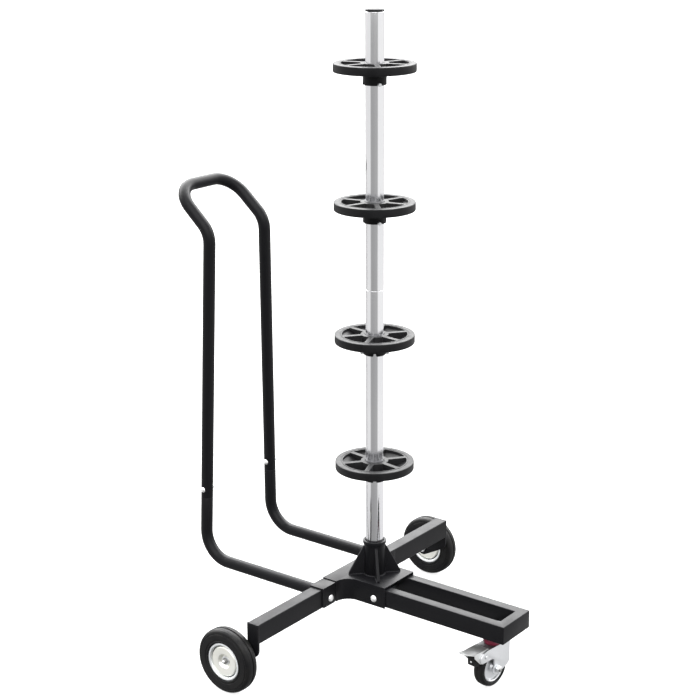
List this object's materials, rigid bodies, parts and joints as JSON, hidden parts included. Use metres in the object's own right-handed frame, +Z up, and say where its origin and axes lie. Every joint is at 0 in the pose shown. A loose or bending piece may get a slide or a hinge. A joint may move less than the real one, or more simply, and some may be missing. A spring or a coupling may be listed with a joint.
{
  "type": "wheel dolly",
  "caption": "Wheeled stand with a chrome post whose support discs each hold a car wheel lying flat, on a black tube base with rear wheels, a braked swivel caster and a tall push handle.",
  "frame": {"origin": "on the floor, at the middle of the footprint", "axes": "+Z up; -Y towards the fork and its swivel caster, which is the front; +Y towards the push handle; X along the side arms, with +X on the left of someone facing the front from the handle"},
  "size_m": [0.686, 0.7539, 1.2217],
  "materials": {
    "black_coat": "satin black powder coat",
    "chrome_post": "bright chrome plated tube",
    "zinc": "bright zinc plate",
    "black_plastic": "moulded black plastic",
    "black_rubber": "solid black rubber",
    "maroon_seal": "maroon plastic"
  },
  "bodies": {
    "dolly_frame": {"hub_bracket": "black_coat", "post_socket": "black_coat", "lower_post": "chrome_post", "upper_post": "chrome_post", "post_coupler": "zinc", "post_cap": "black_plastic", "cross_tube": "black_coat", "wheel_bracket_left": "black_coat", "wheel_bracket_right": "black_coat", "axle_bolt_left": "zinc", "axle_bolt_right": "zinc", "axle_spacer_left": "zinc", "axle_spacer_right": "zinc", "axle_washer_left": "zinc", "axle_washer_right": "zinc", "axle_nut_left": "zinc", "axle_nut_right": "zinc", "front_frame": "black_coat", "fork_bolt": "zinc", "fork_nut": "zinc", "saddle_left": "black_coat", "saddle_right": "black_coat", "saddle_bolt_left": "zinc", "saddle_bolt_right": "zinc", "saddle_nut_left": "zinc", "saddle_nut_right": "zinc", "handle_foot_left": "black_coat", "handle_foot_right": "black_coat", "handle_top": "black_coat", "handle_bolt_left": "zinc", "handle_bolt_right": "zinc", "handle_nut_left": "zinc", "handle_nut_right": "zinc", "caster_race": "zinc", "caster_stem_bolt": "zinc", "caster_stem_nut": "zinc"},
    "rear_wheel_left": {"tyre_left": "black_rubber", "rim_left": "zinc", "wheel_bush_left": "black_plastic"},
    "rear_wheel_right": {"tyre_right": "black_rubber", "rim_right": "zinc", "wheel_bush_right": "black_plastic"},
    "support_disc_1": {"disc_1": "black_plastic"},
    "support_disc_2": {"disc_2": "black_plastic"},
    "support_disc_3": {"disc_3": "black_plastic"},
    "support_disc_4": {"disc_4": "black_plastic"},
    "cross_pin_1": {"disc_pin_1": "zinc"},
    "cross_pin_2": {"disc_pin_2": "zinc"},
    "cross_pin_3": {"disc_pin_3": "zinc"},
    "cross_pin_4": {"disc_pin_4": "zinc"},
    "caster_fork": {"caster_yoke": "zinc", "swivel_seal": "maroon_seal", "caster_axle_bolt": "zinc", "caster_axle_nut": "zinc", "pedal_pin": "zinc"},
    "caster_wheel": {"caster_tyre": "black_rubber", "caster_rim": "zinc", "caster_bush": "black_plastic"},
    "brake": {"brake_pedal": "zinc", "brake_shoe": "black_rubber"}
  },
  "joints": [
    {"name": "rear_wheel_left_spin", "type": "hinge", "parent": "dolly_frame", "child": "rear_wheel_left", "pos_m": [-0.328, 0.0411, 0.0625], "axis": [1, 0, 0], "continuous": true},
    {"name": "rear_wheel_right_spin", "type": "hinge", "parent": "dolly_frame", "child": "rear_wheel_right", "pos_m": [0.328, 0.0411, 0.0625], "axis": [1, 0, 0], "continuous": true},
    {"name": "caster_swivel", "type": "hinge", "parent": "dolly_frame", "child": "caster_fork", "pos_m": [0, -0.3365, 0.0845], "axis": [0, 0, 1], "continuous": true},
    {"name": "caster_wheel_spin", "type": "hinge", "parent": "caster_fork", "child": "caster_wheel", "pos_m": [-0.02026, -0.33415, 0.0375], "axis": [-0.1149, -0.9934, 0], "continuous": true},
    {"name": "brake_pedal_press", "type": "hinge", "parent": "caster_fork", "child": "brake", "pos_m": [-0.05205, -0.33048, 0.073], "axis": [-0.1149, -0.9934, 0], "range_deg": [0, 18]},
    {"name": "disc_1_lift", "type": "slide", "parent": "dolly_frame", "child": "support_disc_1", "axis": [0, 0, 1], "range_m": [0, 0.205]},
    {"name": "disc_2_lift", "type": "slide", "parent": "dolly_frame", "child": "support_disc_2", "axis": [0, 0, 1], "range_m": [0, 0.205]},
    {"name": "disc_3_lift", "type": "slide", "parent": "dolly_frame", "child": "support_disc_3", "axis": [0, 0, 1], "range_m": [0, 0.205]},
    {"name": "disc_4_lift", "type": "slide", "parent": "dolly_frame", "child": "support_disc_4", "axis": [0, 0, 1], "range_m": [0, 0.14]},
    {"name": "pin_1_pull", "type": "slide", "parent": "dolly_frame", "child": "cross_pin_1", "axis": [-0.6018, 0.7986, 0], "range_m": [0, 0.06]},
    {"name": "pin_2_pull", "type": "slide", "parent": "dolly_frame", "child": "cross_pin_2", "axis": [-0.6018, 0.7986, 0], "range_m": [0, 0.06]},
    {"name": "pin_3_pull", "type": "slide", "parent": "dolly_frame", "child": "cross_pin_3", "axis": [0.5358, 0.8443, 0], "range_m": [0, 0.06]},
    {"name": "pin_4_pull", "type": "slide", "parent": "dolly_frame", "child": "cross_pin_4", "axis": [0.5358, 0.8443, 0], "range_m": [0, 0.06]}
  ]
}
